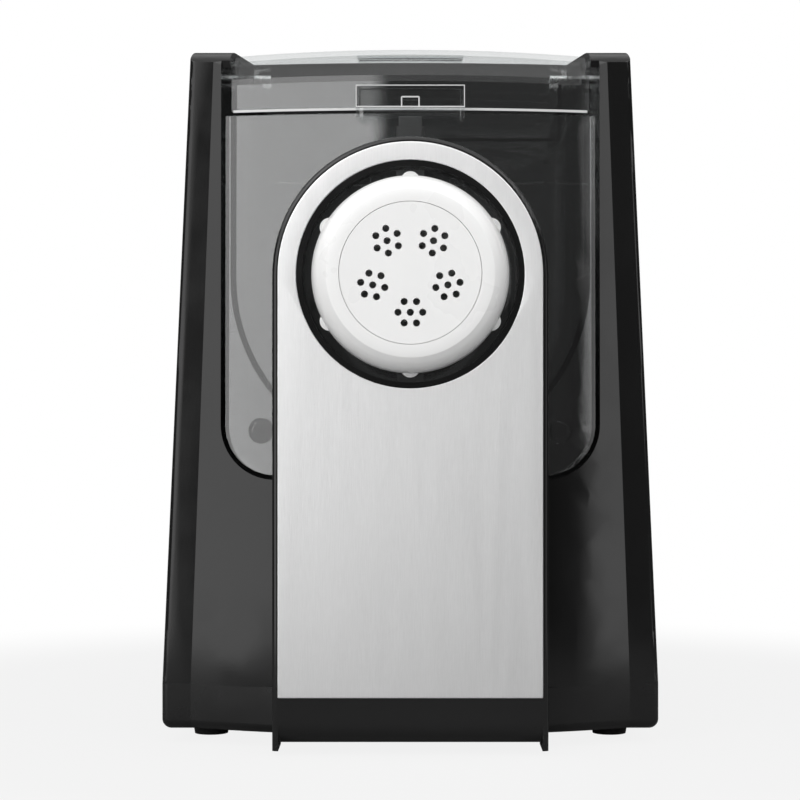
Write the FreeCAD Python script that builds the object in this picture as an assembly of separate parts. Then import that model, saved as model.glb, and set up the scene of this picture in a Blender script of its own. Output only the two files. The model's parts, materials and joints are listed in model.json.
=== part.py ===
import FreeCAD, Part
import math
import os

# Electric pasta maker. Millimetres, +Z up, front towards -Y, origin at the middle of the base on the table.
V = FreeCAD.Vector

# Overall sizes
WIDTH = 210.0
DEPTH = 314.0
HEIGHT = 311.0

# Body shape
FRONT_Y = -DEPTH / 2
REAR_Y = DEPTH / 2
FACET_Y = FRONT_Y + 46.0
SEAM_Z = 25.2
SIDE_TAPER = 0.0449
FACET_WIDTH = 12.2
FACET_TAPER = 0.0082
BOW_R = 210.0
EDGE_R = 2.5
REAR_CORNER_R = 18.0
WALL = 3.0
CHEEK_DROP = 14.4
CHEEK_BACK = 34.0
CHEEK_FRONT_DROP = 27.8
DECK_CROWN = 2.3
DECK_SEAM_Z = HEIGHT - 27.0
REAR_SEAM_Y = REAR_Y - 27.0
REAR_BAY = 111.0
BULKHEAD_Y = REAR_Y - REAR_BAY
LINER = 2.5
RAIL_W = 3.5

# Feet and base
FOOT_H = 6.0
FOOT_R = 8.2
FOOT_X = WIDTH / 2 - 18.3
FOOT_FRONT_Y = FACET_Y + 31.0
FOOT_REAR_Y = REAR_Y - 32.0

# Bowl chamber
AXIS_Z = 196.2
CHEEK_SPAN = 25.2
TUB_SIDE_GAP = 3.9
TUB_FLOOR_GAP = 8.6
CHAMBER_HALF = WIDTH / 2 - CHEEK_SPAN
TUB_R = CHAMBER_HALF - TUB_SIDE_GAP
CHAMBER_BOTTOM = AXIS_Z - TUB_R - TUB_FLOOR_GAP
CHAMBER_R = 22.9
BOWL_GAP = 1.9
BOWL_WALL = 2.5
TUB_REAR_GAP = 4.4
HUB_R = 10.0
SEAL_R = 13.95
RIM_FRONT_Z = HEIGHT - 47.0
RIM_REAR_Z = HEIGHT - 39.5

# Extrusion parts, all round about the drive axis
BARREL_R = 33.5
BARREL_WALL = 6.5
BARREL_BORE = BARREL_R - BARREL_WALL
LUG_R = BARREL_R + 2.5
LUG_HALF = 7.0
PAD_T = 10.8
PAD_FRONT_Y = FRONT_Y + 25.5
DIE_FLANGE_R = BARREL_R - 1.0
DIE_R = DIE_FLANGE_R - 3.8
DIE_T = 6.0
DIE_HOLE_R = 1.45
DIE_CLUSTER_R = BARREL_BORE - 11.1
DIE_RING_R = 4.97
NUT_WALL = 4.4
NUT_R = LUG_R + NUT_WALL
GRIP_R = 4.0
NUT_GRIP_R = NUT_R + 1.6
RUN = 0.05

# Front cover and steel plate
COVER_LIP_R = NUT_GRIP_R + 2.1
PLATE_HOLE_R = COVER_LIP_R + 2.3
PLATE_RIM = 7.64
PLATE_HALF = PLATE_HOLE_R + PLATE_RIM
COVER_HALF = PLATE_HALF + 2.26
COVER_WALL = 2.5
COVER_BOTTOM = 4.6
LUG_BOTTOM = 2.1
PLATE_T = 0.8
PLATE_BOTTOM = 23.7
PLATE_Y = FRONT_Y + 10.0
PAD_R = PLATE_HOLE_R + 1.6
PEG_R = 3.0
PEG_X = 30.0
PEG_Z = 60.0
CHIN_R = 9.0

# Lid
LID_HALF = TUB_R - 0.6
LID_WALL = 2.2
LID_EAR_GAP = 3.2
LID_LUG_T = 4.3
TAB_HALF = 22.6
LID_GAP = 1.7
LID_EDGE_DROP = 31.0
LID_HINGE_Y = BULKHEAD_Y - 12.0
LID_HINGE_Z = HEIGHT - 10.0
LID_REAR_Y = BULKHEAD_Y - 5.0
PIN_R = 2.0

# Drive train: module, teeth of wheel and pinion for each stage
PRESSURE = math.radians(25)
BACKLASH = 0.16
STAGE_3 = (1.5, 56, 14)
STAGE_2 = (1.25, 54, 12)
STAGE_1 = (1.0, 60, 12)
SECOND_X = 19.4
GB_WALL = 4.0
GB_CLEAR = 3.5
LAYER_1 = (6.0, 14.0)
LAYER_2 = (16.0, 26.0)
LAYER_3 = (28.5, 42.5)
GB_DEPTH = 49.0
SHAFT_R = 6.0
BUSH_R = 10.0
AXLE_R = 3.0
HEX_R = 7.5
MOTOR_R = 30.0
MOTOR_BORE = 16.5
ROTOR_R = 15.7
MOTOR_SHAFT_R = 3.0
BEARING_R = 6.0
ARM_OUT = 28.0
ARM_IN = 24.5

# Controls
BUTTON_R = 8.0
BUTTON_GAP = 0.35
BUTTON_PITCH = 28.0
BUTTON_Y = BULKHEAD_Y + 30.0
BUTTON_TOP = HEIGHT - 2.0
DISPLAY_W = 46.0
DISPLAY_L = 16.0
BOARD_HALF = 55.0
BOARD_T = 1.6
BOARD_Z = HEIGHT - 15.0
STAND_INSET = 5.0

pieces = {}


def block(x0, x1, y0, y1, z0, z1):
    return Part.makeBox(x1 - x0, y1 - y0, z1 - z0, V(x0, y0, z0))


def rod(x, z, r, y0, y1):
    return Part.makeCylinder(r, y1 - y0, V(x, y0, z), V(0, 1, 0))


def post(x, y, r, z0, z1):
    return Part.makeCylinder(r, z1 - z0, V(x, y, z0), V(0, 0, 1))


def tube(x, z, r_in, r_out, y0, y1):
    return rod(x, z, r_out, y0, y1).cut(rod(x, z, r_in, y0 - 1, y1 + 1))


def wire(points):
    return Part.makePolygon(points + [points[0]])


def slab_xz(points, y0, y1):
    face = Part.Face(wire([V(x, y0, z) for x, z in points]))
    return face.extrude(V(0, y1 - y0, 0))


def slab_yz(points, x0, x1):
    face = Part.Face(wire([V(x0, y, z) for y, z in points]))
    return face.extrude(V(x1 - x0, 0, 0))


def joined(shapes):
    return shapes[0].multiFuse(shapes[1:]).removeSplitter()


def half_width(z):
    return WIDTH / 2 - SIDE_TAPER * max(0, z - SEAM_Z)


def crease(z):
    return half_width(z) - FACET_WIDTH + FACET_TAPER * max(0, z - SEAM_Z)


def bow_centre(z):
    return FACET_Y + math.sqrt(BOW_R ** 2 - crease(z) ** 2)


def bow_y(x, z, inset):
    return bow_centre(z) - math.sqrt((BOW_R - inset) ** 2 - x ** 2)


def section(z, inset):
    """Outline of the body at height z, moved inwards by inset."""
    w = half_width(z) - inset
    c = crease(z) - inset * 0.8
    front = bow_y(c, z, inset)
    rear = REAR_Y - inset
    e = EDGE_R
    q = REAR_CORNER_R - inset
    k = math.sqrt(0.5)
    edges = [
        Part.Arc(V(-c, front, z), V(0, bow_y(0, z, inset), z), V(c, front, z)),
        Part.LineSegment(V(c, front, z), V(w - e, front, z)),
        Part.Arc(V(w - e, front, z), V(w - e + e * k, front + e - e * k, z), V(w, front + e, z)),
        Part.LineSegment(V(w, front + e, z), V(w, rear - q, z)),
        Part.Arc(V(w, rear - q, z), V(w - q + q * k, rear - q + q * k, z), V(w - q, rear, z)),
        Part.LineSegment(V(w - q, rear, z), V(q - w, rear, z)),
        Part.Arc(V(q - w, rear, z), V(q - w - q * k, rear - q + q * k, z), V(-w, rear - q, z)),
        Part.LineSegment(V(-w, rear - q, z), V(-w, front + e, z)),
        Part.Arc(V(-w, front + e, z), V(e - w - e * k, front + e - e * k, z), V(e - w, front, z)),
        Part.LineSegment(V(e - w, front, z), V(-c, front, z)),
    ]
    return Part.Wire([edge.toShape() for edge in edges])


def body_solid(inset, z0, z1):
    return Part.makeLoft([section(z0, inset), section(z1, inset)], True, True)


def rim_z(y):
    """Height of the bowl's sloping rim at depth y."""
    front = FACET_Y - 18.0
    return RIM_FRONT_Z + (RIM_REAR_Z - RIM_FRONT_Z) * (y - front) / (TUB_REAR_Y - front)


def bezier(points):
    curve = Part.BezierCurve()
    curve.setPoles(points)
    return curve.toShape()


def cheek_top(drop):
    """Side profile of the cheeks and rear, as a solid that reaches past both sides."""
    x = -WIDTH
    front = FACET_Y - 12.0
    zf = HEIGHT - CHEEK_FRONT_DROP - drop
    y1 = FACET_Y + CHEEK_BACK
    z1 = HEIGHT - CHEEK_DROP - drop
    z2 = HEIGHT - 1.5 - drop
    slope = (z2 - z1) / (BULKHEAD_Y - y1)
    knee = z1 - slope * (y1 - FACET_Y + 2.5)
    edges = [
        Part.LineSegment(V(x, REAR_Y + 20, 0), V(x, front, 0)).toShape(),
        Part.LineSegment(V(x, front, 0), V(x, front, zf)).toShape(),
        Part.LineSegment(V(x, front, zf), V(x, FACET_Y - 2.5, zf)).toShape(),
        bezier([V(x, FACET_Y - 2.5, zf), V(x, FACET_Y - 2.5, knee), V(x, y1, z1)]),
        Part.LineSegment(V(x, y1, z1), V(x, BULKHEAD_Y, z2)).toShape(),
        Part.LineSegment(V(x, BULKHEAD_Y, z2), V(x, REAR_Y + 20, z2)).toShape(),
        Part.LineSegment(V(x, REAR_Y + 20, z2), V(x, REAR_Y + 20, 0)).toShape(),
    ]
    return Part.Face(Part.Wire(edges)).extrude(V(2 * WIDTH, 0, 0))


def u_solid(half, bottom, corner, top, y0, y1):
    """A U shaped prism along Y, open towards the top."""
    k = corner * (1 - math.sqrt(0.5))
    rise = bottom + corner
    edges = [
        Part.LineSegment(V(-half, y0, top), V(-half, y0, rise)).toShape(),
        Part.Arc(V(-half, y0, rise), V(k - half, y0, bottom + k), V(corner - half, y0, bottom)).toShape(),
    ]
    if half - corner > 0.01:
        edges.append(Part.LineSegment(V(corner - half, y0, bottom), V(half - corner, y0, bottom)).toShape())
    turn = Part.Arc(V(half - corner, y0, bottom), V(half - k, y0, bottom + k), V(half, y0, rise))
    edges.append(turn.toShape())
    edges.append(Part.LineSegment(V(half, y0, rise), V(half, y0, top)).toShape())
    edges.append(Part.LineSegment(V(half, y0, top), V(-half, y0, top)).toShape())
    return Part.Face(Part.Wire(edges)).extrude(V(0, y1 - y0, 0))


def arch_solid(half, bottom, y0, y1):
    """An upright arch: half round top about the drive axis, straight sides down to bottom."""
    edges = [
        Part.LineSegment(V(-half, y0, bottom), V(-half, y0, AXIS_Z)).toShape(),
        Part.Arc(V(-half, y0, AXIS_Z), V(0, y0, AXIS_Z + half), V(half, y0, AXIS_Z)).toShape(),
        Part.LineSegment(V(half, y0, AXIS_Z), V(half, y0, bottom)).toShape(),
        Part.LineSegment(V(half, y0, bottom), V(-half, y0, bottom)).toShape(),
    ]
    return Part.Face(Part.Wire(edges)).extrude(V(0, y1 - y0, 0))


def turned(profile):
    """Solid of revolution about the drive axis from (radius, y) points."""
    face = Part.Face(wire([V(r, y, AXIS_Z) for r, y in profile]))
    return face.revolve(V(0, 0, AXIS_Z), V(0, 1, 0), 360)


def hexagon(x, z, r, y0, y1):
    points = [(x + r * math.cos(a * math.pi / 3), z + r * math.sin(a * math.pi / 3)) for a in range(6)]
    return slab_xz(points, y0, y1)


def gear(module, teeth, x, z, phase, y0, y1):
    """Spur gear about (x, z); phase is the angle in degrees of one tooth's middle."""
    pitch_r = module * teeth / 2
    base_r = pitch_r * math.cos(PRESSURE)
    root_r = pitch_r - 1.25 * module
    tip_r = pitch_r + 0.95 * module
    half = math.pi / 2 / teeth - BACKLASH / 2 / pitch_r
    start = max(base_r, root_r)
    flank = []
    for step in range(4):
        r = start + (tip_r - start) * step / 3
        a = math.acos(min(1.0, base_r / r))
        flank.append((r, half + math.tan(PRESSURE) - PRESSURE - math.tan(a) + a))
    if root_r < base_r:
        flank.insert(0, (root_r, flank[0][1]))
    points = []
    for tooth in range(teeth):
        middle = math.radians(phase) + 2 * math.pi * tooth / teeth
        for r, a in flank:
            points.append((x + r * math.cos(middle - a), z + r * math.sin(middle - a)))
        for r, a in reversed(flank):
            points.append((x + r * math.cos(middle + a), z + r * math.sin(middle + a)))
    return slab_xz(points, y0, y1)


def mesh_phase(centre, teeth, phase, other, other_teeth):
    """Phase of the other gear that puts its gap on this gear's tooth line."""
    toward = math.degrees(math.atan2(other[1] - centre[1], other[0] - centre[0]))
    share = ((toward - phase) * teeth / 360) % 1
    return toward + 180 - (0.5 - share) * 360 / other_teeth


# Gear centres, found from the centre distances
REACH_3 = STAGE_3[0] * (STAGE_3[1] + STAGE_3[2]) / 2
REACH_2 = STAGE_2[0] * (STAGE_2[1] + STAGE_2[2]) / 2
REACH_1 = STAGE_1[0] * (STAGE_1[1] + STAGE_1[2]) / 2
OUTPUT = (0.0, AXIS_Z)
SECOND = (SECOND_X, AXIS_Z - math.sqrt(REACH_3 ** 2 - SECOND_X ** 2))
FIRST = (0.0, SECOND[1] - math.sqrt(REACH_2 ** 2 - SECOND_X ** 2))
MOTOR = (0.0, FIRST[1] - REACH_1)
GB_Y = BULKHEAD_Y + WALL
TUB_REAR_Y = BULKHEAD_Y - TUB_REAR_GAP
AUGER_REAR_Y = PAD_FRONT_Y + 33.0


def make_casing():
    outer = body_solid(0, SEAM_Z, HEIGHT + 20)
    inner = body_solid(WALL, SEAM_Z - 1, HEIGHT + 21)
    over = HEIGHT + 30
    chamber = u_solid(CHAMBER_HALF, CHAMBER_BOTTOM, CHAMBER_R, over, FRONT_Y - 5, BULKHEAD_Y)
    liner = u_solid(
        CHAMBER_HALF + LINER, CHAMBER_BOTTOM - LINER, CHAMBER_R + LINER,
        over, FRONT_Y - 5, BULKHEAD_Y + WALL,
    )
    top = cheek_top(0)
    under_deck = block(-WIDTH, WIDTH, FRONT_Y, REAR_SEAM_Y, 0, DECK_SEAM_Z)
    cheeks = block(-WIDTH, WIDTH, FRONT_Y, BULKHEAD_Y + WALL, 0, over)
    shell = outer.common(top).common(under_deck.fuse(cheeks))
    hollow = inner.common(cheek_top(WALL))
    shell = shell.cut(hollow.cut(liner)).cut(chamber)
    shell = shell.cut(block(-WIDTH, WIDTH, BULKHEAD_Y, REAR_Y, DECK_SEAM_Z, over))
    rails = top.cut(cheek_top(WALL)).common(block(-WIDTH, WIDTH, FACET_Y + 1, BULKHEAD_Y, 0, over))
    for side in (-1, 1):
        x0, x1 = sorted((side * (CHAMBER_HALF - RAIL_W), side * (CHAMBER_HALF + 0.5)))
        shell = shell.fuse(rails.common(block(x0, x1, FACET_Y, BULKHEAD_Y, 0, over)))
    shell = shell.cut(rod(0, AXIS_Z, SEAL_R + RUN, BULKHEAD_Y - 1, BULKHEAD_Y + WALL + 1))
    for x in (-PEG_X, PEG_X):
        shell = shell.cut(rod(x, PEG_Z, PEG_R + 0.4, FRONT_Y, FACET_Y))
    pieces["main_housing"] = shell.removeSplitter()

    tray = body_solid(0, FOOT_H, SEAM_Z)
    low = [edge for edge in tray.Edges if edge.BoundBox.ZMax < FOOT_H + 0.01]
    tray = tray.makeFillet(4.0, low)
    tray = tray.cut(body_solid(WALL, FOOT_H + WALL, SEAM_Z + 1))
    for y in (BULKHEAD_Y - 52, BULKHEAD_Y - 31):
        cradle = block(-28, 28, y, y + 3, FOOT_H + 1, MOTOR[1] - 20)
        tray = tray.fuse(cradle.cut(rod(0, MOTOR[1], MOTOR_R, FRONT_Y, REAR_Y)))
    foot_places = [(x, y) for x in (-FOOT_X, FOOT_X) for y in (FOOT_FRONT_Y, FOOT_REAR_Y)]
    for x, y in foot_places:
        tray = tray.cut(post(x, y, 3.1, 0, FOOT_H + WALL + 1))
    pieces["base_tray"] = tray.removeSplitter()
    names = ("foot_front_left", "foot_rear_left", "foot_front_right", "foot_rear_right")
    for name, (x, y) in zip(names, foot_places):
        pad = Part.makeCone(FOOT_R - 1, FOOT_R, FOOT_H, V(x, y, 0), V(0, 0, 1))
        pieces[name] = pad.fuse(post(x, y, 3.0, FOOT_H, FOOT_H + WALL + 1.5))

    cover = outer.common(block(-WIDTH, WIDTH, REAR_SEAM_Y, REAR_Y + 5, 0, DECK_SEAM_Z))
    cover = cover.cut(inner)
    for row in range(9):
        z = 60 + row * 9
        cover = cover.cut(block(-45, -3, REAR_Y - 6, REAR_Y + 2, z, z + 3.2))
        cover = cover.cut(block(3, 45, REAR_Y - 6, REAR_Y + 2, z, z + 3.2))
    gland = V(62, 0, 45)
    cover = cover.cut(rod(gland.x, gland.z, 7.0, REAR_Y - 8, REAR_Y + 2))
    pieces["rear_cover"] = cover
    pieces["cord_gland"] = joined([
        tube(gland.x, gland.z, 3.5, 6.9, REAR_Y - 9, REAR_Y - 0.01),
        tube(gland.x, gland.z, 3.5, 9.5, REAR_Y - 6, REAR_Y - WALL),
    ])


def deck_block(drop, inset, y0):
    """The crowned top of the deck; drop and inset move it inwards for the hollow."""
    wires = []
    for x in (-90.0, 0.0, 90.0):
        crown = DECK_CROWN * (x / 90.0) ** 2
        top = HEIGHT - drop - crown
        r = REAR_Y - inset
        low = DECK_SEAM_Z - (2 if drop else 0)
        x1 = x * (WIDTH + 20) / 180
        edges = [
            Part.LineSegment(V(x1, y0, low), V(x1, y0, top)).toShape(),
            Part.LineSegment(V(x1, y0, top), V(x1, r - 32, top - 3)).toShape(),
            bezier([V(x1, r - 32, top - 3), V(x1, r - 1, top - 6), V(x1, r, DECK_SEAM_Z + 1)]),
            Part.LineSegment(V(x1, r, DECK_SEAM_Z + 1), V(x1, r, low)).toShape(),
            Part.LineSegment(V(x1, r, low), V(x1, y0, low)).toShape(),
        ]
        wires.append(Part.Wire(edges))
    return Part.makeLoft(wires, True, False)


def make_controls():
    outer = body_solid(0, SEAM_Z, HEIGHT + 20).common(deck_block(0, 0, BULKHEAD_Y))
    inner = body_solid(WALL, SEAM_Z, HEIGHT + 20).common(deck_block(WALL, WALL, BULKHEAD_Y - 5))
    deck = outer.cut(inner)
    deck = deck.fuse(outer.common(block(-WIDTH, WIDTH, BULKHEAD_Y, BULKHEAD_Y + WALL, DECK_SEAM_Z, HEIGHT)))
    places = [-BUTTON_PITCH, 0, BUTTON_PITCH]
    for x in places:
        deck = deck.cut(post(x, BUTTON_Y, BUTTON_R + BUTTON_GAP, DECK_SEAM_Z, HEIGHT + 5))
    dy = BUTTON_Y + 24
    window = block(-DISPLAY_W / 2, DISPLAY_W / 2, dy, dy + DISPLAY_L, HEIGHT - 8.2, HEIGHT + 5)
    deck = deck.cut(window)
    pieces["control_deck"] = deck.removeSplitter()
    pane = outer.common(block(
        -DISPLAY_W / 2 + 0.2, DISPLAY_W / 2 - 0.2, dy + 0.2, dy + DISPLAY_L - 0.2, HEIGHT - 6.5, HEIGHT + 5
    ))
    pieces["display_window"] = pane
    board_y0 = BULKHEAD_Y + 6
    board_y1 = BULKHEAD_Y + 74
    board_top = BOARD_Z + BOARD_T
    stand_x = BOARD_HALF - STAND_INSET
    stand = []
    for x in (-stand_x, stand_x):
        for y in (board_y0 + STAND_INSET, board_y1 - STAND_INSET):
            stand.append(post(x, y, 3, board_top, HEIGHT - 6).common(inner))
    pieces["control_board"] = block(-BOARD_HALF, BOARD_HALF, board_y0, board_y1, BOARD_Z, board_top)
    pieces["board_standoffs"] = Part.makeCompound(stand)
    pieces["button_switches"] = Part.makeCompound(
        [block(x - 3, x + 3, BUTTON_Y - 3, BUTTON_Y + 3, board_top, board_top + 3.4) for x in places]
    )
    names = ("power_button", "program_button", "start_button")
    for name, x in zip(names, places):
        cap = post(x, BUTTON_Y, BUTTON_R, BUTTON_TOP - 6, BUTTON_TOP)
        cap = cap.makeFillet(0.8, [edge for edge in cap.Edges if edge.BoundBox.ZMin > BUTTON_TOP - 0.01])
        pieces[name] = cap.fuse(post(x, BUTTON_Y, 2.0, board_top + 5.0, BUTTON_TOP - 5))
    module = block(-20, 20, dy + 1, dy + DISPLAY_L - 1, board_top, HEIGHT - 8.4)
    pieces["display_module"] = module
    switch_x = half_width(DECK_SEAM_Z) - 13.4
    pieces["lid_switch"] = block(switch_x - 20, switch_x, GB_Y, GB_Y + 8, DECK_SEAM_Z - 14, DECK_SEAM_Z - 3)


def make_bowl():
    front = body_solid(1.0, CHAMBER_BOTTOM - 20, HEIGHT + 20)
    front_in = body_solid(1.0 + WALL, CHAMBER_BOTTOM - 20, HEIGHT + 20)
    half = CHAMBER_HALF - BOWL_GAP
    bottom = CHAMBER_BOTTOM + BOWL_GAP
    ahead = FRONT_Y - 5
    plate = u_solid(half, bottom, CHAMBER_R - BOWL_GAP, HEIGHT, ahead, FACET_Y + 20)
    plate = plate.common(front).cut(front_in)
    tub = u_solid(TUB_R, AXIS_Z - TUB_R, TUB_R, HEIGHT, ahead, TUB_REAR_Y).common(front)
    room_r = TUB_R - BOWL_WALL
    room = u_solid(room_r, AXIS_Z - room_r, room_r, HEIGHT + 1, ahead, TUB_REAR_Y - BOWL_WALL)
    room = room.common(front_in)
    pad = rod(0, AXIS_Z, PAD_R, PAD_FRONT_Y, PAD_FRONT_Y + PAD_T)
    bowl = plate.fuse(tub).cut(room).fuse(pad)
    bowl = bowl.fuse(rod(0, AXIS_Z, 20, TUB_REAR_Y - 8, TUB_REAR_Y))
    boss_x = half - 15.2
    boss_z = bottom + 18.5
    for x in (-boss_x, boss_x):
        bowl = bowl.fuse(rod(x, boss_z, 5.4, FACET_Y - 9, FACET_Y + 2).common(front))
        bowl = bowl.cut(rod(x, boss_z, 3.8, FACET_Y - 6, FACET_Y + 3))
    rim = slab_yz([
        (FRONT_Y, rim_z(FRONT_Y)), (BULKHEAD_Y, rim_z(BULKHEAD_Y)),
        (BULKHEAD_Y, HEIGHT + 30), (FRONT_Y, HEIGHT + 30),
    ], -WIDTH, WIDTH)
    bowl = bowl.cut(rim)
    for side in (-1, 1):
        x0, x1 = sorted((side * TUB_R, side * (TUB_R - BOWL_WALL)))
        ear = block(x0, x1, LID_HINGE_Y - 5, LID_HINGE_Y + 5, RIM_FRONT_Z - 10, LID_HINGE_Z)
        ear = ear.fuse(Part.makeCylinder(5, x1 - x0, V(x0, LID_HINGE_Y, LID_HINGE_Z), V(1, 0, 0)))
        bowl = bowl.fuse(ear)
    hinge = Part.makeCylinder(PIN_R + RUN, 2 * WIDTH, V(-WIDTH, LID_HINGE_Y, LID_HINGE_Z), V(1, 0, 0))
    bowl = bowl.cut(hinge)
    bowl = bowl.cut(rod(0, AXIS_Z, BARREL_R + 0.1, FRONT_Y, PAD_FRONT_Y + PAD_T + 1))
    bowl = bowl.cut(rod(0, AXIS_Z, SEAL_R + RUN, TUB_REAR_Y - 9, TUB_REAR_Y + 1))
    pieces["mixing_bowl"] = bowl.removeSplitter()
    pieces["bowl_shaft_seal"] = tube(0, AXIS_Z, HUB_R + RUN, SEAL_R, TUB_REAR_Y - 8, TUB_REAR_Y)


def make_extruder():
    back = PAD_FRONT_Y + PAD_T
    tip = FRONT_Y + DIE_T
    barrel = joined([
        rod(0, AXIS_Z, BARREL_R, tip, back),
        rod(0, AXIS_Z, BARREL_R + 6, back, back + 3),
    ])
    lug_y = PAD_FRONT_Y - 8.5
    lugs = rod(0, AXIS_Z, LUG_R, lug_y, lug_y + 3)
    wedge = []
    for turn in range(3):
        arm = block(0, LUG_R + 5, FRONT_Y - 5, 0, -LUG_HALF, LUG_HALF)
        arm.rotate(V(0, 0, 0), V(0, 1, 0), 120 * turn + 90)
        arm.translate(V(0, 0, AXIS_Z))
        wedge.append(arm)
    barrel = barrel.fuse(lugs.common(wedge[0].multiFuse(wedge[1:])))
    barrel = barrel.cut(rod(0, AXIS_Z, BARREL_BORE, tip - 1, back + 4))
    pieces["extrusion_barrel"] = barrel.removeSplitter()

    die = joined([rod(0, AXIS_Z, DIE_R, FRONT_Y, tip), rod(0, AXIS_Z, DIE_FLANGE_R, FRONT_Y + 3, tip)])
    for cluster in range(5):
        a = math.radians(90 + 36 + 72 * cluster)
        x = DIE_CLUSTER_R * math.cos(a)
        z = AXIS_Z + DIE_CLUSTER_R * math.sin(a)
        die = die.cut(rod(x, z, DIE_HOLE_R, FRONT_Y - 1, tip + 1))
        for ring in range(6):
            b = a + math.radians(60 * ring + 90)
            die = die.cut(rod(
                x + DIE_RING_R * math.cos(b), z + DIE_RING_R * math.sin(b), DIE_HOLE_R, FRONT_Y - 1, tip + 1
            ))
    pieces["pasta_die"] = die

    rear = PAD_FRONT_Y - 2.0
    bore = BARREL_R + 0.6
    shoulder = [(NUT_R, rear), (NUT_R, FRONT_Y + 13)]
    for step in range(1, 7):
        a = math.radians(15 * step)
        shoulder.append((NUT_R - 8.5 * (1 - math.cos(a)), FRONT_Y + 13 - 13 * math.sin(a)))
    profile = [(DIE_R + 0.2, FRONT_Y), (DIE_R + 0.2, FRONT_Y + 2.8), (DIE_FLANGE_R + 0.3, FRONT_Y + 2.8)]
    profile += [(DIE_FLANGE_R + 0.3, tip), (bore, tip), (bore, lug_y - 0.7), (LUG_R + 0.5, lug_y - 0.7)]
    profile += [(LUG_R + 0.5, lug_y + 3.5), (bore, lug_y + 3.5), (bore, rear)]
    nut = turned(profile + shoulder)
    for turn in range(6):
        a = math.radians(30 + 60 * turn)
        x = (NUT_GRIP_R - GRIP_R) * math.cos(a)
        z = AXIS_Z + (NUT_GRIP_R - GRIP_R) * math.sin(a)
        bump = rod(x, z, GRIP_R, FRONT_Y + 12, rear)
        nut = nut.fuse(bump.cut(rod(0, AXIS_Z, NUT_R - 1, FRONT_Y, FACET_Y)))
    for turn in range(3):
        slot = block(0, LUG_R + 0.5, lug_y + 3, rear + 1, -LUG_HALF - 1, LUG_HALF + 1)
        slot = slot.cut(rod(0, 0, bore - 0.5, FRONT_Y, FACET_Y))
        slot = slot.common(rod(0, 0, LUG_R + 0.5, FRONT_Y, FACET_Y))
        slot.rotate(V(0, 0, 0), V(0, 1, 0), 120 * turn + 90 + 60)
        slot.translate(V(0, 0, AXIS_Z))
        nut = nut.cut(slot)
    pieces["clamping_nut"] = nut.removeSplitter()


def make_auger():
    root_r = 9.0
    tip_r = BARREL_BORE - 1.0
    start = FRONT_Y + DIE_T + 1.5
    end = AUGER_REAR_Y
    core = rod(0, AXIS_Z, root_r, start, end)
    pitch = 20.0
    steps = 16
    turns = (end - start - 3.0) / pitch
    wires = []
    for step in range(int(turns * steps) + 1):
        a = 2 * math.pi * step / steps
        y = start + pitch * step / steps
        radial = V(math.cos(a), 0, math.sin(a))
        centre = V(0, y, AXIS_Z)
        low = centre + radial * (root_r - 1.5)
        high = centre + radial * tip_r
        wires.append(wire([low, high, high + V(0, 2, 0), low + V(0, 3, 0)]))
    flight = Part.makeLoft(wires, True, True)
    auger = core.fuse(flight)
    auger = auger.fuse(block(-4, 4, end, end + 12, AXIS_Z - 4, AXIS_Z + 4))
    pieces["auger_screw"] = auger

    hub_end = BULKHEAD_Y - 2.5
    paddle = rod(0, AXIS_Z, HUB_R, end, hub_end)
    reach = TUB_R - BOWL_WALL - 3.0
    span = TUB_REAR_Y - 12 - end - 8
    for index in range(4):
        side = 1 if index % 2 == 0 else -1
        y = end + 8 + span * index / 3
        arm = block(-6, 6, y - 4, y + 4, 0, reach - 4)
        blade = block(-5, 5, y - 8, y + 8, reach - 12, reach)
        blade = blade.common(rod(0, 0, reach, y - 20, y + 20))
        arm = arm.fuse(blade)
        if side < 0:
            arm.rotate(V(0, 0, 0), V(0, 1, 0), 180)
        arm.translate(V(0, 0, AXIS_Z))
        paddle = paddle.fuse(arm)
    paddle = paddle.cut(block(-4.1, 4.1, end - 1, end + 12.5, AXIS_Z - 4.1, AXIS_Z + 4.1))
    paddle = paddle.cut(hexagon(0, AXIS_Z, HEX_R + 0.3, hub_end - 20, hub_end + 1))
    pieces["mixing_paddle"] = paddle.removeSplitter()


def lid_block(inset, low):
    """Lid form from side profiles that follow the bow of the front; inset moves it inwards."""
    half = LID_HALF - inset
    wires = []
    for share in (-1.0, -0.5, 0.0, 0.5, 1.0):
        x = share * half
        crown = 3.0 * share ** 2
        edge_z = HEIGHT - LID_EDGE_DROP - inset
        front = bow_y(x, HEIGHT - LID_EDGE_DROP, 1.0) + inset
        y1 = FACET_Y + CHEEK_BACK
        z1 = HEIGHT - 13.0 - crown - inset
        z2 = HEIGHT - 1.7 - crown - inset
        rear = LID_REAR_Y - inset
        slope = (z2 - z1) / (LID_REAR_Y - y1)
        z_front = rim_z(front) + LID_GAP - low
        z_rear = rim_z(rear) + LID_GAP - low
        mid = front + 0.45 * (y1 - front)
        edges = [
            Part.LineSegment(V(x, front, z_front), V(x, front, edge_z)).toShape(),
            bezier([V(x, front, edge_z), V(x, mid, z1 - slope * (y1 - mid)), V(x, y1, z1)]),
            Part.LineSegment(V(x, y1, z1), V(x, rear, z2)).toShape(),
            Part.LineSegment(V(x, rear, z2), V(x, rear, z_rear)).toShape(),
            Part.LineSegment(V(x, rear, z_rear), V(x, front, z_front)).toShape(),
        ]
        wires.append(Part.Wire(edges))
    return Part.makeLoft(wires, True, False)


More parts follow.
